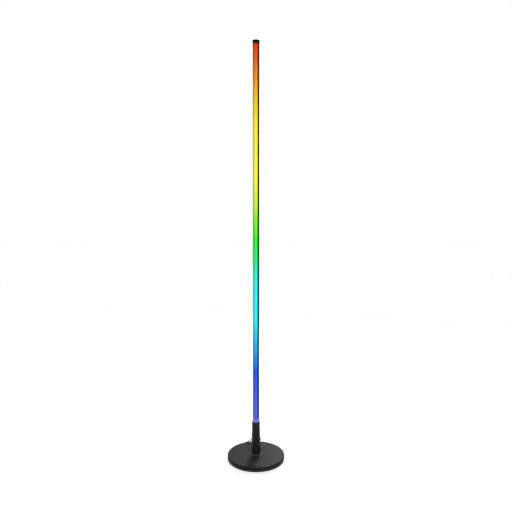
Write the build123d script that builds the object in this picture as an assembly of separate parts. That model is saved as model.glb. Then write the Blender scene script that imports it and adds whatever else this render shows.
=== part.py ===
from build123d import *
import math
import os

import numpy as np

# LED floor lamp. Sizes are in millimetres and angles in degrees.
# The lamp stands on the floor at z = 0 with its tube on the Z axis.
# The light faces -Y, and the cord leaves the collar towards +Y.

# Base: a pressed shell over an iron weight, closed by a moulded tray on rubber pads.
BASE_RADIUS = 100.0
BASE_HEIGHT = 16.0
SHELL_WALL = 1.2
SHELL_EDGE_RADIUS = 1.6
PAD_RADIUS = 9.0
PAD_HEIGHT = 1.0
PAD_RING_RADIUS = 82.0
PAD_COUNT = 4
TRAY_INSET = 0.3
TRAY_THICKNESS = 4.5
TRAY_RIM_WALL = 3.0
TRAY_RIM_HEIGHT = 3.0
TRAY_HOLE_RADIUS = 15.0
TRAY_SCREW_COUNT = 4
TRAY_SCREW_RING_RADIUS = 60.0
TRAY_SCREW_RADIUS = 2.0
TRAY_SCREW_HEAD_RADIUS = 3.5
TRAY_SCREW_HEAD_HEIGHT = 1.9
TRAY_SCREW_LENGTH = 6.5

# Centre bolt that clamps the weight, the shell, the foot ring and the collar.
BOLT_RADIUS = 4.0
BOLT_HEAD_RADIUS = 7.5
BOLT_HEAD_HEIGHT = 5.3
BOLT_POCKET_RADIUS = 13.0
BOLT_POCKET_DEPTH = 3.6
WASHER_RADIUS = 11.0
WASHER_THICKNESS = 1.6
INSERT_RADIUS = 6.5
INSERT_LENGTH = 15.0
BOLT_END_GAP = 1.5

# Foot ring and flared collar.
RING_RADIUS = 18.6
RING_HEIGHT = 3.0
RING_TOP_RADIUS = 15.0
RING_LAND = 0.5
COLLAR_HEIGHT = 117.3
COLLAR_FOOT_RADIUS = 16.0
COLLAR_TOP_RADIUS = 13.95
COLLAR_FLARE = 0.5
COLLAR_FOOT_EDGE = 1.2
COLLAR_RIM_EDGE = 0.4
COLLAR_SPIGOT_RADIUS = 12.0
COLLAR_FLOOR = 4.0
CAVITY_RADIUS = 9.8
SOCKET_DEPTH = 48.0
BUSH_WALL = 1.1
BUSH_LIP = 1.5
BUSH_LIP_WIDTH = 1.8
BUSH_BELOW_RIM = 3.0

# Light tube.
LAMP_HEIGHT = 1441.2
TUBE_RADIUS = 11.0
CHANNEL_WALL = 1.3
DIFFUSER_WALL = 1.35
DIFFUSER_HALF_ANGLE = 61.0
DIFFUSER_HOOK_ANGLE = 9.0
DIFFUSER_HOOK_WALL = 1.1
WEB_DEPTH = 2.5
WEB_THICKNESS = 1.5
PORT_SPACING = 7.2
PORT_WALL = 0.9
BOARD_WIDTH = 15.6
BOARD_THICKNESS = 0.4
BOARD_END_GAP = 0.8
LED_SIZE = 5.0
LED_HEIGHT = 1.6
LED_PITCH = 16.6
LED_FIRST = 16.0
SLEEVE_SHOWING = 14.0
SLEEVE_WALL = 2.2
SLEEVE_PARTITION = 5.0
TUBE_SCREW_RADIUS = 1.3
TUBE_SCREW_HEAD_RADIUS = 2.2
TUBE_SCREW_HEAD_HEIGHT = 1.6
TUBE_SCREW_GRIP = 9.0
CAP_RADIUS = 12.0
CAP_HEIGHT = 9.2
CAP_EDGE_RADIUS = 0.7
CAP_SPIGOT_RADIUS = 8.0
CAP_SPIGOT_LENGTH = 1.0
CAP_SCREW_SINK = 2.2

# The tube turns in its bush, and a screw in the sleeve's groove stops it at both ends.
TURN_LIMIT = 90.0
GROOVE_DEPTH = 1.2
RETAINER_RADIUS = 2.0
RETAINER_BELOW_RIM = 22.0
RETAINER_KEY_RADIUS = 1.15
RETAINER_KEY_DEPTH = 1.5

# Cord gland, the lead inside the lamp and the cord.
CORD_DIAMETER = 3.0
GLAND_HEIGHT = 38.2
GLAND_REACH = 28.5
GLAND_NECK_RADIUS = 3.0
GLAND_ROOT_RADIUS = 3.8
GLAND_TIP_RADIUS = 2.4
GLAND_RIB_PITCH = 3.2
GLAND_RIB_GAP = 1.2
GLAND_RIB_DEPTH = 0.45
GLAND_FLANGE_RADIUS = 4.2
GLAND_FLANGE_THICKNESS = 1.5
GLAND_FLANGE_FROM_AXIS = 7.0
LEAD_BEND_RADIUS = 5.0
LEAD_ABOVE_SLEEVE = 4.0

# The put-away cord lies behind the base along this direction, turned from +Y towards -X.
CORD_LAY_ANGLE = 30.0
# Route of the free cord: right of, behind and above the lamp's foot, seen along that direction.
CORD_ROUTE = [
    (17.7, 30.7, 54.2),
    (16.5, 39.5, 53.0),
    (9.5, 47.5, 50.0),
    (-2.5, 55.0, 45.5),
    (-14.5, 62.5, 39.8),
    (-22.0, 73.0, 32.5),
    (-26.3, 84.5, 25.5),
    (-28.5, 95.8, 20.8),
    (-36.5, 98.5, 16.0),
    (-42.5, 100.0, 10.5),
    (-47.0, 104.5, 5.0),
    (-48.0, 110.5, 2.4),
    (-45.0, 115.5, 1.7),
    (-38.8, 117.8, 1.6),
    (-31.0, 118.2, 1.6),
    (-23.0, 117.4, 2.1),
]
CORD_BEND_SHARE = 0.45
HANK_RUN = 60.0
HANK_FOLD_RADIUS = 9.5
HANK_STEP = 3.5
HANK_BULGE = 0.44
HANK_WAIST = 2.0
HANK_SIDE = 0.85
HANK_BEHIND = 180.0
HANK_ENTRY_SIDE = -14.2
HANK_ENTRY_BEHIND = 133.5
HANK_ENTRY_RUN = 10.0
HANK_TURNS_PER_LAYER = 1.5
HANK_LAYERS = 4
LAST_FOLD_RADIUS = 9.8
TIE_WIDTH = 8.0
TIE_THICKNESS = 0.8
TIE_GAP = 0.45
TIE_TAIL = 9.0

# Control plug on the end of the cord: a two-part case with three keys and a flat plug.
CASE_LENGTH = 44.0
CASE_WIDTH = 20.0
CASE_HEIGHT = 10.0
CASE_WALL = 1.4
CASE_EDGE_RADIUS = 2.0
CASE_SPLIT_CHAMFER = 0.25
CASE_ENTRY_BEHIND = 18.0
CASE_CORD_INSIDE = 3.0
BOARD2_THICKNESS = 1.0
BOARD2_MARGIN = 0.6
KEY_RADIUS = 2.6
KEY_PROUD = 0.9
KEY_FLANGE = 0.7
KEY_FLANGE_THICKNESS = 0.6
KEY_TRAVEL = 0.6
KEY_SPACING = 9.0
SWITCH_SIZE = 4.0
SWITCH_STEM_RADIUS = 1.2
SWITCH_STEM_HEIGHT = 0.8
CASE_SCREW_RADIUS = 1.0
CASE_SCREW_HEAD_RADIUS = 1.9
CASE_SCREW_HEAD_HEIGHT = 1.0
CASE_POST_RADIUS = 2.4
CASE_POST_INSET = 4.6
PLUG_WIDTH = 12.0
PLUG_HEIGHT = 4.5
PLUG_WALL = 0.35
PLUG_LENGTH = 14.0
PLUG_INSIDE = 6.0
PLUG_WINDOW = 2.3
PLUG_WINDOW_SPACING = 5.2
PLUG_WINDOW_FROM_CASE = 6.0
TONGUE_THICKNESS = 1.9
TONGUE_SHORT = 1.0

# Cross recess in each screw head, as shares of the head's radius and height.
RECESS_LENGTH = 1.15
RECESS_WIDTH = 0.26
RECESS_DEPTH = 0.6

# Clearances.
RUNNING_FIT = 0.05
LOOSE_FIT = 0.3
HOLE_FIT = 0.2
LEAD_FIT = 0.9

UPWARDS = (Align.CENTER, Align.CENTER, Align.MIN)

# Heights and radii that follow from the sizes above.
tray_top = PAD_HEIGHT + TRAY_THICKNESS
weight_top = BASE_HEIGHT - SHELL_WALL
shell_bore = BASE_RADIUS - SHELL_WALL
tray_rim_radius = shell_bore - LOOSE_FIT
weight_radius = tray_rim_radius - TRAY_RIM_WALL - LOOSE_FIT
ring_top = BASE_HEIGHT + RING_HEIGHT
collar_top = BASE_HEIGHT + COLLAR_HEIGHT
spigot_low = BASE_HEIGHT + LOOSE_FIT
insert_top = spigot_low + INSERT_LENGTH
cavity_low = insert_top + COLLAR_FLOOR
socket_low = collar_top - SOCKET_DEPTH
bush_bore = TUBE_RADIUS + RUNNING_FIT
bush_radius = bush_bore + BUSH_WALL
socket_radius = bush_radius + RUNNING_FIT
sleeve_low = socket_low + BUSH_LIP + RUNNING_FIT
sleeve_top = collar_top + SLEEVE_SHOWING
sleeve_bore = TUBE_RADIUS - SLEEVE_WALL
cap_low = LAMP_HEIGHT - CAP_HEIGHT
channel_bore = TUBE_RADIUS - CHANNEL_WALL
port_y = WEB_DEPTH + WEB_THICKNESS + TUBE_SCREW_RADIUS
port_places = [(-PORT_SPACING / 2, port_y), (PORT_SPACING / 2, port_y)]
cord_radius = CORD_DIAMETER / 2
gland_z = BASE_HEIGHT + GLAND_HEIGHT
retainer_z = collar_top - RETAINER_BELOW_RIM
hank_low = TIE_THICKNESS + TIE_GAP + cord_radius
quarters_per_layer = int(4 * HANK_TURNS_PER_LAYER)
hank_quarters = quarters_per_layer * HANK_LAYERS


def rod(radius, low, high, place=(0, 0)):
    """A round bar along Z between two heights."""
    return Pos(place[0], place[1], low) * Cylinder(radius, high - low, align=UPWARDS)


def tube(outer, inner, low, high):
    """A round tube along Z between two heights."""
    return rod(outer, low, high) - rod(inner, low, high)


def rod_back(radius, near, far, height):
    """A round bar along +Y between two distances from the lamp's axis."""
    return Pos(0, near, height) * Rot(-90, 0, 0) * Cylinder(radius, far - near, align=UPWARDS)


def around(count, radius, first=45.0):
    """Places spaced evenly on a circle."""
    angles = [math.radians(first + 360.0 * i / count) for i in range(count)]
    return [(radius * math.cos(a), radius * math.sin(a)) for a in angles]


def sector(inner, outer, start, end):
    """A flat piece of a ring between two angles, counted from +X."""
    arcs = [CenterArc((0, 0), radius, start, end - start) for radius in (inner, outer)]
    sides = [Line(arcs[0] @ i, arcs[1] @ i) for i in (0, 1)]
    return make_face([arcs[0], sides[1], arcs[1], sides[0]])


def screw(head_radius, radius, head_face, seat, end, place):
    """A screw along Z: its head lies between head_face and seat, and has a cross recess."""
    head = rod(head_radius, *sorted((head_face, seat)), place)
    shank = rod(radius, *sorted((seat, end)), place)
    depth = 2 * RECESS_DEPTH * abs(seat - head_face)
    slot = Box(RECESS_LENGTH * head_radius, RECESS_WIDTH * head_radius, depth)
    return head + shank - Pos(*place, head_face) * slot - Pos(*place, head_face) * Rot(0, 0, 90) * slot


def top_edges(solid):
    """The edges that lie on a solid's highest face."""
    return solid.faces().sort_by(Axis.Z)[-1].edges()


def collar_radius_at(height):
    """The collar's outer radius, on the arc that flares it, at a height."""
    share = (height - ring_top) / (collar_top - ring_top)
    straight = COLLAR_FOOT_RADIUS + (COLLAR_TOP_RADIUS - COLLAR_FOOT_RADIUS) * share
    return straight - COLLAR_FLARE * 4 * share * (1 - share)


# Base pieces.
def make_base_shell():
    outer = rod(BASE_RADIUS, tray_top + HOLE_FIT, BASE_HEIGHT)
    outer = fillet(top_edges(outer), SHELL_EDGE_RADIUS)
    inner = rod(shell_bore, tray_top + HOLE_FIT, weight_top)
    inner = fillet(top_edges(inner), SHELL_EDGE_RADIUS - SHELL_WALL)
    return outer - inner - rod(BOLT_RADIUS + LOOSE_FIT, tray_top, BASE_HEIGHT)


tray_screw_places = around(TRAY_SCREW_COUNT, TRAY_SCREW_RING_RADIUS, first=0.0)
screw_head_low = PAD_HEIGHT + HOLE_FIT
screw_head_top = screw_head_low + TRAY_SCREW_HEAD_HEIGHT
screw_end = tray_top + TRAY_SCREW_LENGTH


def make_base_tray():
    tray = rod(BASE_RADIUS - TRAY_INSET, PAD_HEIGHT, tray_top)
    tray += tube(tray_rim_radius, tray_rim_radius - TRAY_RIM_WALL, tray_top, tray_top + TRAY_RIM_HEIGHT)
    tray -= rod(TRAY_HOLE_RADIUS, PAD_HEIGHT, tray_top)
    for place in tray_screw_places:
        tray -= rod(TRAY_SCREW_RADIUS + HOLE_FIT, PAD_HEIGHT, tray_top, place)
        tray -= rod(TRAY_SCREW_HEAD_RADIUS + LOOSE_FIT, PAD_HEIGHT, screw_head_top, place)
    return tray


def make_tray_screws():
    sizes = (TRAY_SCREW_HEAD_RADIUS, TRAY_SCREW_RADIUS, screw_head_low, screw_head_top, screw_end)
    return [screw(*sizes, place) for place in tray_screw_places]


def make_foot_pads():
    return [rod(PAD_RADIUS, 0, PAD_HEIGHT, place) for place in around(PAD_COUNT, PAD_RING_RADIUS)]


pocket_top = tray_top + BOLT_POCKET_DEPTH
bolt_head_top = pocket_top - WASHER_THICKNESS


def make_base_weight():
    weight = rod(weight_radius, tray_top, weight_top)
    weight -= rod(BOLT_POCKET_RADIUS, tray_top, pocket_top)
    weight -= rod(BOLT_RADIUS + LOOSE_FIT, tray_top, weight_top)
    for place in tray_screw_places:
        weight -= rod(TRAY_SCREW_RADIUS + RUNNING_FIT, tray_top, screw_end + LOOSE_FIT, place)
    return weight


def make_centre_bolt():
    hexagon = RegularPolygon(BOLT_HEAD_RADIUS, 6)
    head = Pos(0, 0, bolt_head_top - BOLT_HEAD_HEIGHT) * extrude(hexagon, BOLT_HEAD_HEIGHT)
    return head + rod(BOLT_RADIUS, bolt_head_top, insert_top - BOLT_END_GAP)


def make_bolt_washer():
    return tube(WASHER_RADIUS, BOLT_RADIUS + LOOSE_FIT, bolt_head_top, pocket_top)


# Foot ring, collar and what sits in the collar.
def make_foot_ring():
    land_top = BASE_HEIGHT + RING_LAND
    cone = Cone(RING_RADIUS, RING_TOP_RADIUS, ring_top - land_top, align=UPWARDS)
    ring = rod(RING_RADIUS, BASE_HEIGHT, land_top) + Pos(0, 0, land_top) * cone
    return ring - rod(COLLAR_SPIGOT_RADIUS + RUNNING_FIT, BASE_HEIGHT, ring_top)


def make_collar():
    middle = (ring_top + collar_top) / 2
    side = ThreePointArc(
        (COLLAR_FOOT_RADIUS, ring_top),
        (collar_radius_at(middle), middle),
        (COLLAR_TOP_RADIUS, collar_top),
    )
    rest = Polyline(side @ 1, (0, collar_top), (0, ring_top), side @ 0)
    collar = revolve(Plane.XZ * make_face([side, rest]), Axis.Z)
    collar = fillet(collar.faces().sort_by(Axis.Z)[0].edges(), COLLAR_FOOT_EDGE)
    collar = fillet(top_edges(collar), COLLAR_RIM_EDGE)
    collar += rod(COLLAR_SPIGOT_RADIUS, spigot_low, ring_top)
    collar -= rod(INSERT_RADIUS + RUNNING_FIT, spigot_low, insert_top)
    collar -= rod(CAVITY_RADIUS, cavity_low, collar_top)
    collar -= rod(socket_radius, socket_low, collar_top)
    collar -= rod_back(GLAND_NECK_RADIUS + RUNNING_FIT, 0, GLAND_REACH, gland_z)
    return collar - rod_back(RETAINER_RADIUS + RUNNING_FIT, 0, GLAND_REACH, retainer_z)


def make_collar_insert():
    return tube(INSERT_RADIUS, BOLT_RADIUS + RUNNING_FIT, spigot_low, insert_top)


def make_socket_bush():
    bush = tube(bush_radius, bush_bore, socket_low, collar_top - BUSH_BELOW_RIM)
    bush += tube(bush_radius, bush_bore - BUSH_LIP_WIDTH, socket_low, socket_low + BUSH_LIP)
    return bush - rod_back(RETAINER_RADIUS + LOOSE_FIT, 0, GLAND_REACH, retainer_z)


groove_floor = TUBE_RADIUS - GROOVE_DEPTH


def make_retaining_screw():
    outside = collar_radius_at(retainer_z) - LOOSE_FIT
    body = rod_back(RETAINER_RADIUS, groove_floor + LOOSE_FIT, outside, retainer_z)
    socket = extrude(RegularPolygon(RETAINER_KEY_RADIUS, 6), RETAINER_KEY_DEPTH)
    return body - Pos(0, outside, retainer_z) * Rot(90, 0, 0) * socket


def make_cord_gland():
    shoulder = collar_radius_at(gland_z - GLAND_ROOT_RADIUS) + HOLE_FIT
    flange_far = GLAND_FLANGE_FROM_AXIS + GLAND_FLANGE_THICKNESS
    gland = rod_back(GLAND_FLANGE_RADIUS, GLAND_FLANGE_FROM_AXIS, flange_far, gland_z)
    gland += rod_back(GLAND_NECK_RADIUS, flange_far, shoulder, gland_z)
    taper = Cone(GLAND_ROOT_RADIUS, GLAND_TIP_RADIUS, GLAND_REACH - shoulder, align=UPWARDS)
    gland += Pos(0, shoulder, gland_z) * Rot(-90, 0, 0) * taper
    length = GLAND_REACH - shoulder
    for i in range(1, int(length / GLAND_RIB_PITCH)):
        gap = shoulder + i * GLAND_RIB_PITCH
        radius = GLAND_ROOT_RADIUS + (GLAND_TIP_RADIUS - GLAND_ROOT_RADIUS) * i * GLAND_RIB_PITCH / length
        groove = rod_back(GLAND_FLANGE_RADIUS, gap, gap + GLAND_RIB_GAP, gland_z)
        gland -= groove - rod_back(radius - GLAND_RIB_DEPTH, gap, gap + GLAND_RIB_GAP, gland_z)
    return gland - rod_back(cord_radius + RUNNING_FIT, 0, GLAND_REACH, gland_z)


def make_inner_lead():
    corners = [(0, GLAND_REACH, gland_z), (0, 0, gland_z), (0, 0, sleeve_top + LEAD_ABOVE_SLEEVE)]
    return round_tube(FilletPolyline(*corners, radius=LEAD_BEND_RADIUS))


def round_tube(path):
    """The cord's round section swept along a path."""
    start = Plane(origin=path @ 0, z_dir=path % 0)
    return sweep(start * Circle(cord_radius), path=path)


# Light tube.
groove_half_angle = TURN_LIMIT + math.degrees(math.asin((RETAINER_RADIUS + LOOSE_FIT) / groove_floor))


def make_foot_sleeve():
    sleeve = tube(TUBE_RADIUS, sleeve_bore, sleeve_low, sleeve_top)
    sleeve += rod(sleeve_bore, sleeve_top - SLEEVE_PARTITION, sleeve_top)
    sleeve -= rod(cord_radius + LEAD_FIT, sleeve_top - SLEEVE_PARTITION, sleeve_top)
    for place in port_places:
        sleeve -= rod(TUBE_SCREW_RADIUS + HOLE_FIT, sleeve_top - SLEEVE_PARTITION, sleeve_top, place)
    half_height = RETAINER_RADIUS + LOOSE_FIT
    groove = sector(groove_floor, TUBE_RADIUS + LOOSE_FIT, 90 - groove_half_angle, 90 + groove_half_angle)
    return sleeve - Pos(0, 0, retainer_z - half_height) * extrude(groove, 2 * half_height)


def make_foot_screws():
    seat = sleeve_top - SLEEVE_PARTITION
    heights = (seat - TUBE_SCREW_HEAD_HEIGHT, seat, sleeve_top + TUBE_SCREW_GRIP)
    return [screw(TUBE_SCREW_HEAD_RADIUS, TUBE_SCREW_RADIUS, *heights, place) for place in port_places]


def make_tube_channel():
    gap = math.degrees(RUNNING_FIT / TUBE_RADIUS)
    lip = DIFFUSER_HALF_ANGLE + gap
    section = sector(channel_bore, TUBE_RADIUS, 270 + lip, 630 - lip)
    web = Pos(0, WEB_DEPTH + WEB_THICKNESS / 2) * Rectangle(2 * TUBE_RADIUS, WEB_THICKNESS)
    section += web & Circle(TUBE_RADIUS - CHANNEL_WALL / 2)
    for place in port_places:
        section += Pos(*place) * Circle(TUBE_SCREW_RADIUS + PORT_WALL)
    for place in port_places:
        section -= Pos(*place) * Circle(TUBE_SCREW_RADIUS + RUNNING_FIT)
    return Pos(0, 0, sleeve_top) * extrude(section, cap_low - sleeve_top)


def make_diffuser():
    half = DIFFUSER_HALF_ANGLE
    bore = TUBE_RADIUS - DIFFUSER_WALL
    hook = bore - DIFFUSER_HOOK_WALL
    hook_top = channel_bore - RUNNING_FIT
    section = sector(bore, TUBE_RADIUS, 270 - half, 270 + half)
    for side in (-1, 1):
        ends = sorted(270 + side * (half + reach) for reach in (-DIFFUSER_HOOK_ANGLE, DIFFUSER_HOOK_ANGLE))
        section += sector(hook, min(hook_top, bore + RUNNING_FIT), *ends)
    return Pos(0, 0, sleeve_top) * extrude(section, cap_low - sleeve_top)


board_low = sleeve_top + BOARD_END_GAP
board_high = cap_low - BOARD_END_GAP
board_face = WEB_DEPTH - BOARD_THICKNESS


def make_led_board():
    length = board_high - board_low
    board = Box(BOARD_WIDTH, BOARD_THICKNESS, length, align=(Align.CENTER, Align.MIN, Align.MIN))
    return Pos(0, board_face, board_low) * board


def make_led_chips():
    last = board_high - LED_SIZE
    count = int((last - board_low - LED_FIRST) / LED_PITCH) + 1
    chip = Box(LED_SIZE, LED_HEIGHT, LED_SIZE, align=(Align.CENTER, Align.MAX, Align.CENTER))
    return [Pos(0, board_face, board_low + LED_FIRST + i * LED_PITCH) * chip for i in range(count)]


def make_top_cap():
    cap = rod(CAP_RADIUS, cap_low, LAMP_HEIGHT)
    cap = fillet(top_edges(cap), CAP_EDGE_RADIUS)
    half_disc = Circle(CAP_SPIGOT_RADIUS) & Pos(0, -CAP_SPIGOT_RADIUS) * Rectangle(
        2 * CAP_SPIGOT_RADIUS, 2 * CAP_SPIGOT_RADIUS
    )
    cap += Pos(0, 0, cap_low - CAP_SPIGOT_LENGTH) * extrude(half_disc, CAP_SPIGOT_LENGTH)
    for place in port_places:
        cap -= rod(TUBE_SCREW_RADIUS + HOLE_FIT, cap_low, LAMP_HEIGHT, place)
        cap -= rod(TUBE_SCREW_HEAD_RADIUS + LOOSE_FIT, LAMP_HEIGHT - CAP_SCREW_SINK, LAMP_HEIGHT, place)
    return cap


def make_cap_screws():
    seat = LAMP_HEIGHT - CAP_SCREW_SINK
    heights = (seat + TUBE_SCREW_HEAD_HEIGHT, seat, cap_low - TUBE_SCREW_GRIP)
    return [screw(TUBE_SCREW_HEAD_RADIUS, TUBE_SCREW_RADIUS, *heights, place) for place in port_places]


# Free cord and the folded hank behind the base.
lay_turn = math.radians(CORD_LAY_ANGLE)
LAY = Plane(origin=(0, 0, 0), x_dir=(math.cos(lay_turn), math.sin(lay_turn), 0), z_dir=(0, 0, 1))


def laid(side, behind, height):
    """A point given to the right of, behind and above the lamp's foot, along the lay direction."""
    return LAY.from_local_coords(Vector(side, behind, height))


def make_cord_lead():
    points = [Vector(0, GLAND_REACH, gland_z)] + [laid(*place) for place in CORD_ROUTE]
    points.append(laid(HANK_ENTRY_SIDE, HANK_ENTRY_BEHIND - HANK_ENTRY_RUN, hank_low))
    points.append(laid(HANK_ENTRY_SIDE, HANK_ENTRY_BEHIND, hank_low))
    runs = [b - a for a, b in zip(points, points[1:])]
    radii = []
    for a, b in zip(runs, runs[1:]):
        half_turn = math.radians(a.get_angle(b)) / 2
        radii.append(CORD_BEND_SHARE * min(a.length, b.length) / math.tan(half_turn))
    path = FilletPolyline(*points, radius=radii)
    print("cord bend radii", [round(r, 1) for r in radii], "length", round(path.length, 1))
    lead = round_tube(path)
    print("cord volume over section times length", lead.volume / (math.pi * cord_radius**2 * path.length))
    return lead


def biarc(start, start_way, end, end_way):
    """Two arcs that leave one point and reach another in the given directions."""
    span = end - start
    ways = start_way + end_way
    bend = 2 * (1 - start_way.dot(end_way))
    if bend < 1e-6:
        reach = span.dot(span) / (4 * span.dot(end_way))
    else:
        along = span.dot(ways)
        reach = (math.sqrt(along * along + bend * span.dot(span)) - along) / bend
    joint = (start + end + (start_way - end_way) * reach) / 2
    joint_way = ((end - end_way * reach) - (start + start_way * reach)).normalized()
    arcs = [(start, start_way, joint), (joint, joint_way, end)]
    return [tangent_piece(*arc) for arc in arcs]


def tangent_piece(start, way, end):
    """An arc from one point to another, or a line where the arc would be flat."""
    chord = end - start
    if chord.normalized().cross(way).length < 1e-5:
        return Edge.make_line(start, end)
    return Edge.make_tangent_arc(start, way, end)


def hank_offset(quarter):
    """How many steps a quarter turn lies outside the innermost turn: in, then out again."""
    place = quarter % (2 * quarters_per_layer)
    return abs(quarters_per_layer - place) / 4


def hank_level(quarter):
    """The layer, which climbs along the run where the spiral turns round."""
    climbs = [layer * quarters_per_layer for layer in range(1, HANK_LAYERS)]
    return sum(min(max(quarter - climb + 0.5, 0.0), 1.0) for climb in climbs)


def hank_point(eighth):
    """A point of the hank at an eighth of a turn and the direction of the cord there."""
    quarter = eighth / 2
    wide = HANK_FOLD_RADIUS + hank_offset(quarter) * HANK_STEP
    waist = wide - HANK_WAIST
    half = HANK_RUN / 2
    side, behind, right, onwards = [
        (-waist, 0, 0, 1),
        (-wide, half, 0, 1),
        (0, half + wide, 1, 0),
        (wide, half, 0, -1),
        (waist, 0, 0, -1),
        (wide, -half, 0, -1),
        (0, -half - wide, -1, 0),
        (-wide, -half, 0, 1),
    ][eighth % 8]
    rise = (hank_level(quarter + 0.5) - hank_level(quarter - 0.5)) * HANK_STEP / HANK_RUN
    way = LAY.from_local_coords(Vector(right, onwards, rise)).normalized()
    height = hank_low + hank_level(quarter) * HANK_STEP
    return laid(HANK_SIDE + side, HANK_BEHIND + behind, height), way


hank_top = hank_low + (HANK_LAYERS - 1) * HANK_STEP + cord_radius
case_low = hank_top + TIE_GAP + TIE_THICKNESS
case_middle = case_low + CASE_HEIGHT / 2
outer_bulge = HANK_FOLD_RADIUS + hank_offset(0) * HANK_STEP + HANK_BULGE
case_side = HANK_SIDE - outer_bulge + 2 * LAST_FOLD_RADIUS
case_entry = HANK_BEHIND + CASE_ENTRY_BEHIND


def make_cord_hank():
    onwards = LAY.from_local_coords(Vector(0, 1, 0))
    back = LAY.from_local_coords(Vector(0, -1, 0))
    fold_at = HANK_RUN / 2
    above = hank_low + HANK_LAYERS * HANK_STEP
    first = [(laid(HANK_ENTRY_SIDE, HANK_ENTRY_BEHIND, hank_low), onwards)]
    first.append((laid(HANK_SIDE - outer_bulge, HANK_BEHIND - fold_at, hank_low), onwards))
    turns = [hank_point(eighth) for eighth in range(2 * hank_quarters + 1)]
    last = [(laid(HANK_SIDE - outer_bulge, HANK_BEHIND + fold_at, above), onwards)]
    last.append((laid(case_side, HANK_BEHIND + fold_at, case_middle), back))
    stops = first + turns + last
    edges = []
    for (start, start_way), (end, end_way) in zip(stops, stops[1:]):
        edges += biarc(start, start_way, end, end_way)
    cord_end = laid(case_side, case_entry - CASE_CORD_INSIDE, case_middle)
    edges.append(Edge.make_line(last[-1][0], cord_end))
    path = Wire(edges)
    hank = round_tube(path)
    count = int(path.length)
    line = np.array([tuple(path.position_at(i / count)) for i in range(count + 1)])
    apart = np.linalg.norm(line[:, None] - line[None], axis=2)
    near = np.abs(np.subtract.outer(np.arange(count + 1), np.arange(count + 1))) < 5 * CORD_DIAMETER
    apart[near] = np.inf
    gap = apart.min() - CORD_DIAMETER
    print("hank length", round(path.length, 1), "least gap to itself", round(gap, 3))
    print("hank volume over section times length", hank.volume / (math.pi * cord_radius**2 * path.length))
    return hank


def make_hank_tie():
    waist = HANK_FOLD_RADIUS - HANK_WAIST
    left = HANK_SIDE - waist - hank_offset(0) * HANK_STEP - cord_radius - TIE_GAP
    right = HANK_SIDE + waist + hank_offset(2) * HANK_STEP + cord_radius + TIE_GAP
    width, height = right - left, hank_top + TIE_GAP - TIE_THICKNESS
    ends = RectangleRounded(width + 2 * TIE_THICKNESS, height + 2 * TIE_THICKNESS, 2 * TIE_THICKNESS)
    ends -= RectangleRounded(width, height, TIE_THICKNESS)
    ends += Pos(-(width + 3 * TIE_THICKNESS) / 2, 0) * Rectangle(TIE_THICKNESS, TIE_TAIL)
    band = extrude(ends, TIE_WIDTH / 2, both=True)
    middle = Pos((left + right) / 2, HANK_BEHIND, TIE_THICKNESS + height / 2)
    return LAY.location * middle * Rot(90, 0, 0) * band


# Control plug. Its own frame has the cord entry at y = 0 and the plug towards -y, seen from above.
CASE = LAY.location * Pos(case_side, case_entry, case_low)
case_split = CASE_HEIGHT / 2
board2_top = case_split - PLUG_HEIGHT / 2
post_places = [
    (-CASE_WIDTH / 2 + CASE_POST_INSET, -CASE_POST_INSET),
    (CASE_WIDTH / 2 - CASE_POST_INSET, -CASE_POST_INSET),
]
key_places = [(0, -CASE_LENGTH / 2 + KEY_SPACING * i) for i in (-1, 0, 1)]
switch_top = CASE_HEIGHT - CASE_WALL - KEY_FLANGE_THICKNESS - KEY_TRAVEL - 2 * RUNNING_FIT


def block(width, length, low, high, end=0.0):
    """A block on the case's middle line that runs from a place on it towards the plug."""
    return Pos(0, end - length / 2, low) * Box(width, length, high - low, align=UPWARDS)


def case_half(low, high, rounded):
    """One half of the case, open at the split and at both ends."""
    half = block(CASE_WIDTH, CASE_LENGTH, low, high)
    half = fillet(half.edges().filter_by(Axis.Z), CASE_EDGE_RADIUS)
    half = fillet(half.faces().sort_by(Axis.Z)[rounded].edges(), CASE_EDGE_RADIUS / 2)
    half = chamfer(half.faces().sort_by(Axis.Z)[-1 - rounded].edges(), CASE_SPLIT_CHAMFER)
    inner_low, inner_high = max(low, CASE_WALL), min(high, CASE_HEIGHT - CASE_WALL)
    width, length = CASE_WIDTH - 2 * CASE_WALL, CASE_LENGTH - 2 * CASE_WALL
    half -= block(width, length, inner_low, inner_high, -CASE_WALL)
    entry = Cylinder(cord_radius + RUNNING_FIT, CASE_LENGTH)
    half -= Pos(0, -CASE_LENGTH / 2, case_split) * Rot(90, 0, 0) * entry
    plug_low = case_split - PLUG_HEIGHT / 2 - RUNNING_FIT
    plug_high = case_split + PLUG_HEIGHT / 2 + RUNNING_FIT
    start = PLUG_INSIDE - CASE_LENGTH
    return half - block(PLUG_WIDTH + 2 * RUNNING_FIT, 2 * PLUG_INSIDE, plug_low, plug_high, start)


def make_case_lower():
    half = case_half(0, case_split, 0)
    for place in post_places:
        half += rod(CASE_POST_RADIUS, CASE_WALL / 2, board2_top - BOARD2_THICKNESS, place)
    for place in post_places:
        half -= rod(CASE_SCREW_RADIUS + HOLE_FIT, 0, case_split, place)
        half -= rod(CASE_SCREW_HEAD_RADIUS + HOLE_FIT, 0, CASE_SCREW_HEAD_HEIGHT + HOLE_FIT, place)
    return CASE * half


def make_case_upper():
    half = case_half(case_split, CASE_HEIGHT, -1)
    for place in post_places:
        half += rod(CASE_POST_RADIUS, board2_top, CASE_HEIGHT - CASE_WALL / 2, place)
    for place in post_places:
        half -= rod(CASE_SCREW_RADIUS + RUNNING_FIT, 0, CASE_HEIGHT - CASE_WALL, place)
    for place in key_places:
        half -= rod(KEY_RADIUS + HOLE_FIT, case_split, CASE_HEIGHT, place)
    return CASE * half


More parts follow.
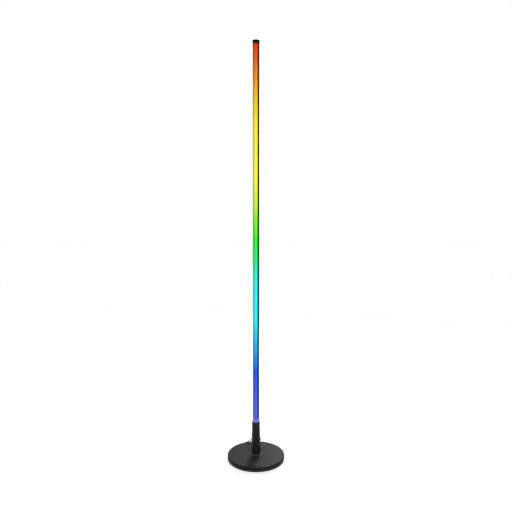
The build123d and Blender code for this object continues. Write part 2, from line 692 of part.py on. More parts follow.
def make_case_screws():
    seat = CASE_SCREW_HEAD_HEIGHT + HOLE_FIT
    end = CASE_HEIGHT - CASE_WALL - LOOSE_FIT
    sizes = (CASE_SCREW_HEAD_RADIUS, CASE_SCREW_RADIUS, HOLE_FIT, seat, end)
    return [CASE * screw(*sizes, place) for place in post_places]


def make_control_board():
    margin = CASE_WALL + BOARD2_MARGIN
    length = CASE_LENGTH - margin - PLUG_INSIDE - BOARD2_MARGIN
    board = block(CASE_WIDTH - 2 * margin, length, board2_top - BOARD2_THICKNESS, board2_top, -margin)
    for place in post_places:
        board -= rod(CASE_SCREW_RADIUS + HOLE_FIT, 0, CASE_HEIGHT, place)
    return CASE * board


def make_key_switches():
    body_top = switch_top - SWITCH_STEM_HEIGHT
    switches = []
    for x, y in key_places:
        body = Pos(x, y, board2_top) * Box(SWITCH_SIZE, SWITCH_SIZE, body_top - board2_top, align=UPWARDS)
        switches.append(CASE * (body + rod(SWITCH_STEM_RADIUS, body_top, switch_top, (x, y))))
    return switches


def make_key(place):
    flange_top = CASE_HEIGHT - CASE_WALL - RUNNING_FIT
    key = rod(KEY_RADIUS, flange_top - KEY_FLANGE_THICKNESS, CASE_HEIGHT + KEY_PROUD, place)
    key = fillet(top_edges(key), KEY_PROUD / 2)
    return CASE * (key + rod(KEY_RADIUS + KEY_FLANGE, flange_top - KEY_FLANGE_THICKNESS, flange_top, place))


def make_plug_shell():
    low, high = case_split - PLUG_HEIGHT / 2, case_split + PLUG_HEIGHT / 2
    length = PLUG_LENGTH + PLUG_INSIDE
    start = PLUG_INSIDE - CASE_LENGTH
    outer = block(PLUG_WIDTH, length, low, high, start)
    outer = fillet(outer.edges().filter_by(Axis.Y), PLUG_WALL)
    shell = outer - block(PLUG_WIDTH - 2 * PLUG_WALL, length, low + PLUG_WALL, high - PLUG_WALL, start)
    window = block(PLUG_WINDOW, PLUG_WINDOW, low, high, -CASE_LENGTH - PLUG_WINDOW_FROM_CASE)
    for side in (-PLUG_WINDOW_SPACING / 2, PLUG_WINDOW_SPACING / 2):
        shell -= Pos(side, 0, 0) * window
    return CASE * shell


def make_plug_tongue():
    low = case_split - PLUG_HEIGHT / 2 + PLUG_WALL
    length = PLUG_LENGTH + PLUG_INSIDE - TONGUE_SHORT
    width = PLUG_WIDTH - 2 * PLUG_WALL - 2 * RUNNING_FIT
    return CASE * block(width, length, low, low + TONGUE_THICKNESS, PLUG_INSIDE - CASE_LENGTH)


PARTS = {
    "base_shell": make_base_shell(),
    "base_weight": make_base_weight(),
    "base_tray": make_base_tray(),
    "tray_screws": make_tray_screws(),
    "foot_pads": make_foot_pads(),
    "centre_bolt": make_centre_bolt(),
    "bolt_washer": make_bolt_washer(),
    "foot_ring": make_foot_ring(),
    "collar": make_collar(),
    "collar_insert": make_collar_insert(),
    "socket_bush": make_socket_bush(),
    "retaining_screw": make_retaining_screw(),
    "cord_gland": make_cord_gland(),
    "inner_lead": make_inner_lead(),
    "foot_sleeve": make_foot_sleeve(),
    "foot_screws": make_foot_screws(),
    "tube_channel": make_tube_channel(),
    "diffuser": make_diffuser(),
    "led_board": make_led_board(),
    "led_chips": make_led_chips(),
    "top_cap": make_top_cap(),
    "cap_screws": make_cap_screws(),
    "cord_lead": make_cord_lead(),
    "cord_hank": make_cord_hank(),
    "hank_tie": make_hank_tie(),
    "case_lower": make_case_lower(),
    "case_upper": make_case_upper(),
    "case_screws": make_case_screws(),
    "control_board": make_control_board(),
    "key_switches": make_key_switches(),
    "power_button": make_key(key_places[2]),
    "colour_button": make_key(key_places[1]),
    "mode_button": make_key(key_places[0]),
    "plug_shell": make_plug_shell(),
    "plug_tongue": make_plug_tongue(),
}

os.makedirs("parts", exist_ok=True)
for name, shape in PARTS.items():
    solids = shape if isinstance(shape, list) else [shape]
    export_step(Compound(children=[Compound(s.solids()) for s in solids]), f"parts/{name}.step")
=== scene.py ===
import math

import bpy
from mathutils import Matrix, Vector


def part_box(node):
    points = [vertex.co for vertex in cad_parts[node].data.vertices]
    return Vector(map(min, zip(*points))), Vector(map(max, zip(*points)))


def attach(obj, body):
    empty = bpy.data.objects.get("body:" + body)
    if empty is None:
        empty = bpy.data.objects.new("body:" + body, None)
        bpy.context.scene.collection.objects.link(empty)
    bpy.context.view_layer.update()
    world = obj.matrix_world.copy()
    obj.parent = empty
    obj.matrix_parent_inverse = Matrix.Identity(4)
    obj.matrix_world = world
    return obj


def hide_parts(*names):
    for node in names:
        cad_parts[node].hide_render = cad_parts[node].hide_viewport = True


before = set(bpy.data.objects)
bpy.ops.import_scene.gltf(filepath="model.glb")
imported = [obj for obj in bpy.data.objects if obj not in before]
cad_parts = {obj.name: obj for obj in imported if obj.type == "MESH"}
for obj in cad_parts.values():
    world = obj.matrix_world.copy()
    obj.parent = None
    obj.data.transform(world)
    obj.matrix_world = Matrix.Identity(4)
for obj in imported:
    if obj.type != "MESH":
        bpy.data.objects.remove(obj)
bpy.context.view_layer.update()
bpy.ops.object.select_all(action="DESELECT")


# Rubber pads: four soft black discs under the base.
# They are punched from sheet rubber and glued on, so they are dull, with the grain of the sheet.
def linear(hex_colour):
    """An sRGB hex colour as the linear colour that a shader takes."""
    channels = [int(hex_colour[i:i + 2], 16) / 255 for i in (1, 3, 5)]
    return [c / 12.92 if c <= 0.04045 else ((c + 0.055) / 1.055) ** 2.4 for c in channels] + [1.0]


def new_finish(name):
    """An empty material with nodes."""
    finish = bpy.data.materials.new(name)
    finish.use_nodes = True
    finish.node_tree.nodes.clear()
    return finish


def add_node(finish, kind, inputs=None, **settings):
    """Adds one node to a finish with its settings, and sets or links its inputs."""
    node = finish.node_tree.nodes.new(kind)
    for name, value in settings.items():
        setattr(node, name, value)
    for socket, value in (inputs or {}).items():
        if isinstance(value, bpy.types.NodeSocket):
            finish.node_tree.links.new(value, node.inputs[socket])
        else:
            node.inputs[socket].default_value = value
    return node


def grained_finish(
    name, dark, light, grain, depth, roughness, spread=0.06, metallic=0.0, stretch=1.0, shine=0.5
):
    """A finish with an even grain, in millimetres: its colour, height and roughness vary together.
    Stretch draws the grain out along Z, as rolling, drawing or brushing does."""
    finish = new_finish(name)
    place = add_node(finish, "ShaderNodeTexCoord").outputs["Object"]
    fine = 1000.0 / grain
    drawn = add_node(finish, "ShaderNodeMapping", {"Vector": place, "Scale": (fine, fine, fine / stretch)})
    noise = add_node(
        finish, "ShaderNodeTexNoise", {"Vector": drawn.outputs["Vector"], "Scale": 1.0, "Detail": 3.0}
    )
    height = noise.outputs["Fac"]
    colour = add_node(
        finish, "ShaderNodeMix", {"Factor": height, "A": linear(dark), "B": linear(light)}, data_type="RGBA"
    )
    gloss = add_node(
        finish, "ShaderNodeMapRange",
        {"Value": height, "To Min": roughness - spread, "To Max": roughness + spread}
    )
    bump = add_node(
        finish, "ShaderNodeBump", {"Height": height, "Strength": 0.3, "Distance": depth / 1000.0}
    )
    shader = add_node(
        finish, "ShaderNodeBsdfPrincipled",
        {
            "Base Color": colour.outputs["Result"],
            "Roughness": gloss.outputs["Result"],
            "Metallic": metallic,
            "Specular IOR Level": shine,
            "Normal": bump.outputs["Normal"],
        },
    )
    add_node(finish, "ShaderNodeOutputMaterial", {"Surface": shader.outputs["BSDF"]})
    return finish


def dress(finish, *nodes):
    """Gives a finish to pieces that keep their own shape."""
    for name in nodes:
        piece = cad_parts[name]
        piece.data.materials.clear()
        piece.data.materials.append(finish)


# Sheet rubber is dull and scatters light.
sheet_rubber = grained_finish(
    "sheet_rubber_punched", "#151516", "#232324", grain=0.7, depth=0.1, roughness=0.86
)
dress(sheet_rubber, "foot_pads")


# Tray: a black polypropylene moulding that closes the base from below.
# Its mould is spark eroded, which leaves a fine matt texture.
matt_moulding = grained_finish(
    "polypropylene_spark_eroded", "#121213", "#1c1c1d", grain=0.8, depth=0.12, roughness=0.62
)
dress(matt_moulding, "base_tray")


# Weight: a round grey iron casting that lies between the tray and the shell.
# Sand casting leaves it rough, with dark pits.
sand_casting = grained_finish(
    "grey_iron_sand_cast", "#2b2b2d", "#46464a", grain=1.6, depth=0.5, roughness=0.68, metallic=0.6
)
dress(sand_casting, "base_weight")


# Screws, centre bolt and washer: steel, zinc plated in a barrel.
# The plating is bright and slightly blue, with a cloudy bloom.
zinc_plating = grained_finish(
    "steel_zinc_plated", "#a3a6ab", "#c6c8cc", grain=3.0, depth=0.02, roughness=0.32, metallic=1.0
)
dress(zinc_plating, "tray_screws", "centre_bolt", "bolt_washer", "foot_screws", "case_screws")


# Base shell: pressed steel, powder coated matt black.
# The coat has a very fine orange peel, drawn coarser here so that it shows, and only a faint sheen.
powder_coat = grained_finish(
    "steel_powder_coated_matt", "#2f2e2f", "#353435", grain=1.4, depth=0.03,
    roughness=0.46, spread=0.04, shine=0.05,
)
# A dull dark line of painted shade runs round the turned-over edge, where the rounded edge turns away from
# the light.
EDGE_SHADE_COLOUR = "#18181a"
EDGE_SHADE_WIDTH = 0.0017
EDGE_SHADE_FADE = 0.0005
# The band of painted edge shade starts this far in from the shell's outer side and from its top.
edge_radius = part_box("base_shell")[1].x - EDGE_SHADE_WIDTH
edge_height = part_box("base_shell")[1].z - EDGE_SHADE_WIDTH
shader = powder_coat.node_tree.nodes["Principled BSDF"]
place = add_node(powder_coat, "ShaderNodeTexCoord").outputs["Object"]
flat = add_node(powder_coat, "ShaderNodeMapping", {"Vector": place, "Scale": (1.0, 1.0, 0.0)})
outward = add_node(powder_coat, "ShaderNodeVectorMath", {0: flat.outputs["Vector"]}, operation="LENGTH")
outer = add_node(
    powder_coat, "ShaderNodeMapRange",
    {"Value": outward.outputs["Value"], "From Min": edge_radius, "From Max": edge_radius + EDGE_SHADE_FADE}
)
apart = add_node(powder_coat, "ShaderNodeSeparateXYZ", {"Vector": place})
upper = add_node(
    powder_coat, "ShaderNodeMapRange",
    {"Value": apart.outputs["Z"], "From Min": edge_height, "From Max": edge_height + EDGE_SHADE_FADE}
)
edge_shade = add_node(
    powder_coat, "ShaderNodeMath",
    {0: outer.outputs["Result"], 1: upper.outputs["Result"]}, operation="MULTIPLY"
)
# Painted shade: inside the edge band the base colour is mixed towards the dark edge colour, and the
# roughness is raised.
colour = add_node(
    powder_coat, "ShaderNodeMix",
    {
        "Factor": edge_shade.outputs["Value"],
        "A": shader.inputs["Base Color"].links[0].from_socket,
        "B": linear(EDGE_SHADE_COLOUR),
    },
    data_type="RGBA",
)
gloss = add_node(
    powder_coat, "ShaderNodeMath",
    {0: shader.inputs["Roughness"].links[0].from_socket, 1: edge_shade.outputs["Value"]}, operation="MAXIMUM"
)
powder_coat.node_tree.links.new(colour.outputs["Result"], shader.inputs["Base Color"])
powder_coat.node_tree.links.new(gloss.outputs["Value"], shader.inputs["Roughness"])
dress(powder_coat, "base_shell")


# Foot ring: a low cone of turned steel between the base and the collar, lacquered black.
# The lacquer is thin and smoky, so the steel below it gives the ring a soft dark sheen.
smooth_lacquer = grained_finish(
    "steel_lacquered_black", "#3e3e40", "#444446", grain=2.2, depth=0.01,
    roughness=0.3, spread=0.03, metallic=1.0,
)
dress(smooth_lacquer, "foot_ring")


# Collar: a tall flared moulding in black ABS that carries the tube, screwed down on the centre bolt.
# The mould is blasted, so it has a silky sheen with hardly any grain.
blasted_moulding = grained_finish(
    "abs_blasted_black", "#29292a", "#2e2e2f", grain=0.9, depth=0.03,
    roughness=0.42, spread=0.04, shine=0.08,
)
dress(blasted_moulding, "collar")


# Threaded insert in the foot of the collar: turned brass, pressed in.
# Turning leaves fine rings, so its grain is drawn flat.
turned_brass = grained_finish(
    "brass_turned", "#a9803a", "#c89c4d", grain=0.9, depth=0.04, roughness=0.3, metallic=1.0, stretch=0.15
)
dress(turned_brass, "collar_insert")


# Bush in the collar's socket: natural nylon, in which the tube's foot turns.
# Nylon is creamy and slightly waxy.
natural_nylon = grained_finish(
    "nylon_natural", "#cfcab8", "#dad6c6", grain=2.0, depth=0.02, roughness=0.45
)
dress(natural_nylon, "socket_bush")


# Grub screw at the back of the collar and the two screws in the cap: steel, blackened in hot oxide.
# The oxide is nearly black with a faint oily sheen.
black_oxide = grained_finish(
    "steel_black_oxide", "#1a1a1c", "#2a2a2d", grain=1.2, depth=0.02, roughness=0.4, metallic=0.9
)
dress(black_oxide, "retaining_screw", "cap_screws")


# Cord gland and the lead inside the lamp: soft black vinyl, moulded or extruded.
# Vinyl has a dull, slightly greasy sheen.
soft_vinyl = grained_finish(
    "vinyl_soft_black", "#0d0d0e", "#141415", grain=1.1, depth=0.03, roughness=0.5, shine=0.2
)
dress(soft_vinyl, "cord_gland", "inner_lead")


# Aluminium channel behind the light: an extrusion, anodised black.
# Extruding draws fine lines along it, and the anodic film keeps a dark metallic sheen.
anodised_channel = grained_finish(
    "aluminium_anodised_black", "#0b0b0c", "#111112", grain=0.8, depth=0.02,
    roughness=0.55, stretch=80.0, shine=0.02,
)
dress(anodised_channel, "tube_channel")


# LED strip: a long board with a white solder mask, stuck to the channel's web, with a row of LEDs on it.
# They run from red at the top through yellow, green and cyan to blue, and light the whole board evenly.
tube_low, tube_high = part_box("diffuser")[0].z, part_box("diffuser")[1].z
tube_radius = -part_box("diffuser")[0].y
LED_COLOURS = [
    (0.000, "#5466f2"),
    (0.128, "#1a51f5"),
    (0.210, "#13b7f4"),
    (0.270, "#19f7f7"),
    (0.370, "#19f7f0"),
    (0.432, "#15f67e"),
    (0.485, "#1bf81f"),
    (0.540, "#7af727"),
    (0.593, "#d4f62d"),
    (0.640, "#faf939"),
    (0.790, "#fbf40f"),
    (0.856, "#f2ca08"),
    (0.908, "#f29106"),
    (0.960, "#f15905"),
    (1.000, "#f02e0a"),
]


def led_colour(finish):
    """The colour that the LEDs give at each height of the tube, for a finish that they light."""
    place = add_node(finish, "ShaderNodeTexCoord").outputs["Object"]
    apart = add_node(finish, "ShaderNodeSeparateXYZ", {"Vector": place})
    share = add_node(
        finish, "ShaderNodeMapRange",
        {"Value": apart.outputs["Z"], "From Min": tube_low, "From Max": tube_high}
    )
    ramp = add_node(finish, "ShaderNodeValToRGB", {"Fac": share.outputs["Result"]})
    stops = ramp.color_ramp.elements
    while len(stops) < len(LED_COLOURS):
        stops.new(0.5)
    for stop, (height, colour) in zip(stops, LED_COLOURS):
        stop.position = height
        stop.color = linear(colour)
    return ramp.outputs["Color"]


BOARD_GLOW = 1.92
white_mask = new_finish("board_white_mask_lit")
mask = add_node(
    white_mask, "ShaderNodeBsdfPrincipled",
    {
        "Base Color": linear("#8f8f8b"),
        "Roughness": 0.5,
        "Emission Color": led_colour(white_mask),
        "Emission Strength": BOARD_GLOW,
    },
)
add_node(white_mask, "ShaderNodeOutputMaterial", {"Surface": mask.outputs["BSDF"]})
dress(white_mask, "led_board", "led_chips")


# Diffuser: a long opal acrylic extrusion that snaps into the channel in front of the LEDs.
# It scatters their light over its whole width and lets the lit board show through as a brighter core.
DIFFUSER_GLOW = 0.65
OPAL_COVER = 0.5
opal_acrylic = new_finish("acrylic_opal_lit")
acrylic = add_node(
    opal_acrylic, "ShaderNodeBsdfPrincipled",
    {
        "Base Color": linear("#0c0c0d"),
        "Roughness": 0.55,
        "Specular IOR Level": 0.05,
        "Emission Color": led_colour(opal_acrylic),
        "Emission Strength": DIFFUSER_GLOW,
        "Alpha": OPAL_COVER,
    },
)
add_node(opal_acrylic, "ShaderNodeOutputMaterial", {"Surface": acrylic.outputs["BSDF"]})
dress(opal_acrylic, "diffuser")


# Foot of the tube: a frosted polycarbonate moulding that plugs into the collar and turns in it.
# The lowest LEDs light its top, and the wall leads their light down to the collar unevenly:
# lavender on one side, pale blue on the other, and a dull teal where the channel shades it.
WALL_TINTS = [
    (0.00, "#3c3c70"),
    (0.25, "#8884d8"),
    (0.42, "#6a70d0"),
    (0.58, "#4c64c2"),
    (0.78, "#88a6e2"),
    (0.92, "#5c8ca4"),
    (1.00, "#4a7480"),
]
TINT_TURN = math.radians(30.0)
WALL_SHARE = 0.47
SHADE_START = 0.78
SHADE_END = 0.94
SHADE_SHARE = 0.1
LIT_TOP_OUTER = 0.98
LIT_TOP_INNER = 0.9
FROST_GRAIN = 0.8
FROST_DEPTH = 0.05
sleeve_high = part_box("foot_sleeve")[1].z
collar_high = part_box("collar")[1].z
frosted_polycarbonate = new_finish("polycarbonate_frosted_lit")
place = add_node(frosted_polycarbonate, "ShaderNodeTexCoord").outputs["Object"]
turned = add_node(
    frosted_polycarbonate, "ShaderNodeMapping", {"Vector": place, "Rotation": (0.0, 0.0, -TINT_TURN)}
)
apart = add_node(frosted_polycarbonate, "ShaderNodeSeparateXYZ", {"Vector": turned.outputs["Vector"]})
across = add_node(
    frosted_polycarbonate, "ShaderNodeMapRange",
    {"Value": apart.outputs["X"], "From Min": -tube_radius, "From Max": tube_radius}
)
tint = add_node(frosted_polycarbonate, "ShaderNodeValToRGB", {"Fac": across.outputs["Result"]})
stops = tint.color_ramp.elements
while len(stops) < len(WALL_TINTS):
    stops.new(0.5)
for stop, (share, colour) in zip(stops, WALL_TINTS):
    stop.position = share
    stop.color = [WALL_SHARE * channel for channel in linear(colour)[:3]] + [1.0]
upward = add_node(
    frosted_polycarbonate, "ShaderNodeMapRange",
    {"Value": apart.outputs["Z"], "From Min": collar_high, "From Max": sleeve_high}
)
blue = led_colour(frosted_polycarbonate)
wall_blue = add_node(
    frosted_polycarbonate, "ShaderNodeVectorMath", {0: blue, "Scale": WALL_SHARE}, operation="SCALE"
)
wall = add_node(
    frosted_polycarbonate, "ShaderNodeMix",
    {"Factor": upward.outputs["Result"], "A": tint.outputs["Color"], "B": wall_blue.outputs["Vector"]},
    data_type="RGBA",
)
shade = add_node(
    frosted_polycarbonate, "ShaderNodeMapRange",
    {
        "Value": across.outputs["Result"],
        "From Min": SHADE_START,
        "From Max": SHADE_END,
        "To Min": 1.0,
        "To Max": SHADE_SHARE,
    },
)
shaded = add_node(
    frosted_polycarbonate, "ShaderNodeVectorMath",
    {0: wall.outputs["Result"], "Scale": shade.outputs["Result"]}, operation="SCALE"
)
flat = add_node(frosted_polycarbonate, "ShaderNodeMapping", {"Vector": place, "Scale": (1.0, 1.0, 0.0)})
outward = add_node(
    frosted_polycarbonate, "ShaderNodeVectorMath", {0: flat.outputs["Vector"]}, operation="LENGTH"
)
inside = add_node(
    frosted_polycarbonate, "ShaderNodeMapRange",
    {
        "Value": outward.outputs["Value"],
        "From Min": LIT_TOP_OUTER * tube_radius,
        "From Max": LIT_TOP_INNER * tube_radius,
    },
)
glow = add_node(
    frosted_polycarbonate, "ShaderNodeMix",
    {"Factor": inside.outputs["Result"], "A": shaded.outputs["Vector"], "B": blue}, data_type="RGBA"
)
frost = add_node(
    frosted_polycarbonate, "ShaderNodeTexNoise",
    {"Vector": place, "Scale": 1000.0 / FROST_GRAIN, "Detail": 2.0}
)
bump = add_node(
    frosted_polycarbonate, "ShaderNodeBump",
    {"Height": frost.outputs["Fac"], "Strength": 0.3, "Distance": FROST_DEPTH / 1000.0}
)
polycarbonate = add_node(
    frosted_polycarbonate, "ShaderNodeBsdfPrincipled",
    {
        "Base Color": linear("#30343c"),
        "Roughness": 0.5,
        "Specular IOR Level": 0.2,
        "Emission Color": glow.outputs["Result"],
        "Emission Strength": BOARD_GLOW,
        "Normal": bump.outputs["Normal"],
    },
)
add_node(frosted_polycarbonate, "ShaderNodeOutputMaterial", {"Surface": polycarbonate.outputs["BSDF"]})
dress(frosted_polycarbonate, "foot_sleeve")


# Cap: a short black ABS moulding that closes the top of the tube, held by two screws.
# It is a deeper black than the collar, and dull.
dull_moulding = grained_finish(
    "abs_dull_black", "#0a0a0b", "#0f0f10", grain=0.9, depth=0.03,
    roughness=0.5, spread=0.04, shine=0.05,
)
dress(dull_moulding, "top_cap")


# Cord: a thin limp low-voltage lead in black vinyl. It leaves the gland, sags behind the collar,
# goes over the rim of the base and lies on the floor, where the rest is folded into a hank.
MILLIMETRE = 0.001
CORD_DIAMETER = 3.0
LAY_TURN = math.radians(30.0)


def laid(right, behind, height):
    """A point right of, behind and above the lamp's foot, along the direction in which the cord lies."""
    x = right * math.cos(LAY_TURN) - behind * math.sin(LAY_TURN)
    y = right * math.sin(LAY_TURN) + behind * math.cos(LAY_TURN)
    return Vector((x, y, height)) * MILLIMETRE


CORD_ROUTE = [
    (14.25, 24.68, 54.2),
    (17.7, 30.7, 54.2),
    (16.5, 39.5, 53.0),
    (9.5, 47.5, 50.0),
    (-2.5, 55.0, 45.5),
    (-14.5, 62.5, 39.4),
    (-22.0, 73.0, 31.6),
    (-26.2, 84.5, 23.5),
    (-28.3, 95.3, 17.4),
    (-35.2, 97.8, 13.6),
    (-41.0, 99.5, 8.0),
    (-45.8, 104.0, 4.0),
    (-47.0, 110.0, 2.0),
    (-44.4, 115.0, 1.6),
    (-38.5, 117.5, 1.6),
    (-31.0, 117.8, 1.6),
    (-23.0, 117.4, 2.1),
    (-14.2, 123.5, 2.75),
    (-14.2, 133.5, 2.75),
]

# The hank: flat turns that spiral in and out, one layer on another, drawn in at the waist by the tie.
HANK_RUN = 60.0
HANK_FOLD_RADIUS = 9.5
HANK_STEP = 3.5
HANK_BULGE = 0.44
LAST_FOLD_RADIUS = 9.8
HANK_WAIST = 2.0
HANK_RIGHT = 0.85
HANK_BEHIND = 180.0
HANK_LOW = 2.75
HANK_LAYERS = 4
QUARTERS_PER_LAYER = 6
FOLD_ANGLES = (22.5, 67.5, 112.5, 157.5)


def hank_offset(quarter):
    """How many steps a quarter turn lies outside the innermost turn: in, then out again."""
    return abs(QUARTERS_PER_LAYER - quarter % (2 * QUARTERS_PER_LAYER)) / 4


def hank_height(quarter):
    """The cord's height, which climbs a layer along the run where the spiral turns round."""
    climbs = [layer * QUARTERS_PER_LAYER for layer in range(1, HANK_LAYERS)]
    return HANK_LOW + HANK_STEP * sum(min(max(quarter - climb + 0.5, 0.0), 1.0) for climb in climbs)


def half_turn(first_quarter):
    """The points of half a turn: from the waist along the run and round the fold to the next run."""
    way = 1 if first_quarter % 4 == 0 else -1
    places = [(first_quarter, lambda wide: (HANK_WAIST - wide, 0.0))]
    places.append((first_quarter + 0.5, lambda wide: (-wide, HANK_RUN / 2)))
    for degrees in FOLD_ANGLES:
        turn = math.radians(degrees)
        reach = 1 / math.cos(math.radians(FOLD_ANGLES[0]))
        places.append((
            first_quarter + 0.5 + degrees / 180,
            lambda wide, turn=turn: (
                -math.cos(turn) * wide * reach, HANK_RUN / 2 + math.sin(turn) * wide * reach
            ),
        ))
    places.append((first_quarter + 1.5, lambda wide: (wide, HANK_RUN / 2)))
    points = []
    for quarter, at in places:
        right, behind = at(HANK_FOLD_RADIUS + hank_offset(quarter) * HANK_STEP)
        points.append((HANK_RIGHT + way * right, HANK_BEHIND + way * behind, hank_height(quarter)))
    return points


quarters = HANK_LAYERS * QUARTERS_PER_LAYER
bulge = HANK_FOLD_RADIUS + hank_offset(0) * HANK_STEP + HANK_BULGE
outer_waist = HANK_FOLD_RADIUS - HANK_WAIST + hank_offset(0) * HANK_STEP
case_low, case_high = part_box("case_lower")[0].z / MILLIMETRE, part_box("case_upper")[1].z / MILLIMETRE
case_middle = (case_low + case_high) / 2
CASE_RIGHT = HANK_RIGHT - bulge + 2 * LAST_FOLD_RADIUS
CASE_END_BEHIND = 195.0
route = list(CORD_ROUTE)
route.append((HANK_RIGHT - bulge, HANK_BEHIND - HANK_RUN / 2, HANK_LOW))
for first_quarter in range(0, quarters, 2):
    route += half_turn(first_quarter)
route.append((HANK_RIGHT - outer_waist, HANK_BEHIND, hank_height(quarters)))
# The last turn climbs over the hank to the control plug that lies on it.
fold_middle = (HANK_RIGHT - bulge + CASE_RIGHT) / 2
fold_reach = (CASE_RIGHT - fold_middle) / math.cos(math.radians(FOLD_ANGLES[0]))
above = HANK_LOW + HANK_LAYERS * HANK_STEP
route.append((HANK_RIGHT - bulge, HANK_BEHIND + HANK_RUN / 2, above))
for degrees in FOLD_ANGLES:
    turn = math.radians(degrees)
    climb = above + (case_middle - above) * degrees / 180
    route.append((
        fold_middle - math.cos(turn) * fold_reach,
        HANK_BEHIND + HANK_RUN / 2 + math.sin(turn) * fold_reach,
        climb,
    ))
route.append((CASE_RIGHT, HANK_BEHIND + HANK_RUN / 2, case_middle))
route.append((CASE_RIGHT, CASE_END_BEHIND, case_middle))

cord_line = bpy.data.curves.new("cord", "CURVE")
cord_line.dimensions = "3D"
cord_line.resolution_u = 6
cord_line.bevel_depth = CORD_DIAMETER / 2 * MILLIMETRE
cord_line.bevel_resolution = 3
cord_line.use_fill_caps = True
spline = cord_line.splines.new("NURBS")
spline.points.add(len(route) - 1)
for point, at in zip(spline.points, route):
    point.co = (*laid(*at), 1.0)
spline.order_u = 3
spline.use_endpoint_u = True
cord = bpy.data.objects.new("cord", cord_line)
bpy.context.scene.collection.objects.link(cord)
cord_line.materials.append(soft_vinyl)
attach(cord, "stand")
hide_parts("cord_lead", "cord_hank")


# Tie round the hank: a woven polyester strap with a hook-and-loop end.
# The weave shows as fine ribs across the strap, drawn here at the pitch of the heavy threads.
STRAP_THREAD = 0.6
STRAP_RIB = 0.1
woven_strap = new_finish("polyester_strap_woven")
place = add_node(woven_strap, "ShaderNodeTexCoord").outputs["Object"]
turned = add_node(woven_strap, "ShaderNodeMapping", {"Vector": place, "Rotation": (0.0, 0.0, -LAY_TURN)})
ribs = add_node(
    woven_strap, "ShaderNodeTexWave",
    {
        "Vector": turned.outputs["Vector"],
        "Scale": 1000.0 / STRAP_THREAD / (2 * math.pi),
        "Distortion": 0.4,
    },
    bands_direction="Y",
)
shade = add_node(
    woven_strap, "ShaderNodeMix",
    {"Factor": ribs.outputs["Fac"], "A": linear("#0d0d0e"), "B": linear("#26262a")}, data_type="RGBA"
)
bump = add_node(
    woven_strap, "ShaderNodeBump",
    {"Height": ribs.outputs["Fac"], "Strength": 0.5, "Distance": STRAP_RIB / 1000.0}
)
polyester = add_node(
    woven_strap, "ShaderNodeBsdfPrincipled",
    {
        "Base Color": shade.outputs["Result"],
        "Roughness": 0.8,
        "Sheen Weight": 0.3,
        "Normal": bump.outputs["Normal"],
    },
)
add_node(woven_strap, "ShaderNodeOutputMaterial", {"Surface": polyester.outputs["BSDF"]})
dress(woven_strap, "hank_tie")


# Control plug: two halves of a smooth black ABS case, screwed together over a small board.
# Polished moulds give the case a clear gloss.
polished_moulding = grained_finish(
    "abs_polished_black", "#0d0d0e", "#131314", grain=4.0, depth=0.02, roughness=0.2, spread=0.03
)
dress(polished_moulding, "case_lower", "case_upper")
green_mask = grained_finish(
    "board_green_mask", "#0c3f22", "#14582f", grain=1.5, depth=0.02, roughness=0.35
)
dress(green_mask, "control_board")
dress(matt_moulding, "key_switches", "plug_tongue")


# Keys: three grey silicone caps that stand in holes of the case and press the switches below.
# Silicone is matt and a little velvety.
silicone_key = grained_finish(
    "silicone_grey", "#55575b", "#64666b", grain=1.0, depth=0.04, roughness=0.7
)
dress(silicone_key, "power_button", "colour_button", "mode_button")


# Plug: a flat shell folded from nickel plated steel, with two windows above and below.
# Rolled sheet keeps a faint grain along the plug.
nickel_sheet = grained_finish(
    "steel_nickel_plated", "#b6b5b0", "#d2d1cc", grain=0.6, depth=0.02, roughness=0.24, metallic=1.0
)
dress(nickel_sheet, "plug_shell")


# Floor: a plain white studio sweep that runs out of view on all sides.
# To the eye and in reflections it is a little brighter than the light on it, so that it reads as white.
FLOOR_SIZE = 40.0
FLOOR_GLOW = 0.58
bpy.ops.mesh.primitive_plane_add(size=FLOOR_SIZE)
floor = bpy.context.object
floor.name = "floor"
studio_white = new_finish("studio_white_matt")
path = add_node(studio_white, "ShaderNodeLightPath")
seen = add_node(
    studio_white, "ShaderNodeMath", {0: path.outputs["Is Camera Ray"], 1: path.outputs["Is Glossy Ray"]},
    operation="MAXIMUM",
)
seen = add_node(
    studio_white, "ShaderNodeMath", {0: seen.outputs["Value"], 1: path.outputs["Is Transmission Ray"]},
    operation="MAXIMUM",
)
lift = add_node(
    studio_white, "ShaderNodeMath", {0: seen.outputs["Value"], 1: FLOOR_GLOW}, operation="MULTIPLY"
)
white = add_node(
    studio_white, "ShaderNodeBsdfPrincipled",
    {
        "Base Color": linear("#f4f4f4"),
        "Roughness": 0.9,
        "Specular IOR Level": 0.0,
        "Emission Color": linear("#ffffff"),
        "Emission Strength": lift.outputs["Value"],
    },
)
add_node(studio_white, "ShaderNodeOutputMaterial", {"Surface": white.outputs["BSDF"]})
floor.data.materials.append(studio_white)


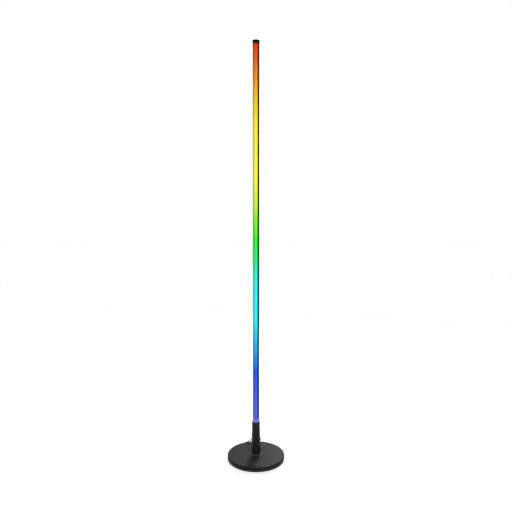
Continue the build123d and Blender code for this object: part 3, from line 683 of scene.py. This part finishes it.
# Light: an even white room, and a small soft panel behind the lamp, a little to the right.
# The room shows as white to the eye and in reflections, and lights the object more gently.
ROOM_LIGHT = 0.45
world = bpy.data.worlds.new("white_room")
bpy.context.scene.world = world
world.use_nodes = True
world.node_tree.nodes.clear()
path = add_node(world, "ShaderNodeLightPath")
seen = add_node(
    world, "ShaderNodeMath", {0: path.outputs["Is Camera Ray"], 1: path.outputs["Is Glossy Ray"]},
    operation="MAXIMUM",
)
seen = add_node(
    world, "ShaderNodeMath", {0: seen.outputs["Value"], 1: path.outputs["Is Transmission Ray"]},
    operation="MAXIMUM",
)
room = add_node(world, "ShaderNodeBackground", {"Color": linear("#ffffff"), "Strength": ROOM_LIGHT})
backdrop = add_node(world, "ShaderNodeBackground", {"Color": linear("#ffffff"), "Strength": 1.0})
either = add_node(
    world, "ShaderNodeMixShader",
    {0: seen.outputs["Value"], 1: room.outputs["Background"], 2: backdrop.outputs["Background"]}
)
add_node(world, "ShaderNodeOutputWorld", {"Surface": either.outputs["Shader"]})

VIEW_TURN = math.radians(30.0)


def from_camera(right, away, up):
    """A point right of, beyond and above the lamp's foot as the camera sees it, in metres."""
    x = right * math.cos(VIEW_TURN) - away * math.sin(VIEW_TURN)
    y = right * math.sin(VIEW_TURN) + away * math.cos(VIEW_TURN)
    return Vector((x, y, up))


PANEL_SIZE = 0.45
PANEL_POWER = 30.0
PANEL_PLACE = (0.55, 1.9, 1.4)
PANEL_TARGET = (0.0, 0.0, 0.3)
panel = bpy.data.lights.new("soft_panel", "AREA")
panel.shape = "SQUARE"
panel.size = PANEL_SIZE
panel.energy = PANEL_POWER
panel_stand = bpy.data.objects.new("soft_panel", panel)
panel_stand.location = from_camera(*PANEL_PLACE)
aim = from_camera(*PANEL_TARGET) - panel_stand.location
panel_stand.rotation_euler = aim.to_track_quat("-Z", "Y").to_euler()
bpy.context.scene.collection.objects.link(panel_stand)


# Camera: level with the middle of the tube, turned a little to the right of the light's front.
CAMERA_DISTANCE = 1.652
CAMERA_HEIGHT = 0.823
CAMERA_PITCH = math.radians(3.65)
FOCAL_SHARE = 480.0 / 512.0
SENSOR_WIDTH = 36.0
camera = bpy.data.cameras.new("camera")
camera.sensor_width = SENSOR_WIDTH
camera.lens = SENSOR_WIDTH * FOCAL_SHARE
camera_stand = bpy.data.objects.new("camera", camera)
camera_stand.location = from_camera(0.0, -CAMERA_DISTANCE, CAMERA_HEIGHT)
camera_stand.rotation_euler = (math.pi / 2 - CAMERA_PITCH, 0.0, VIEW_TURN)
bpy.context.scene.collection.objects.link(camera_stand)
bpy.context.scene.camera = camera_stand
bpy.context.scene.view_settings.view_transform = "Standard"
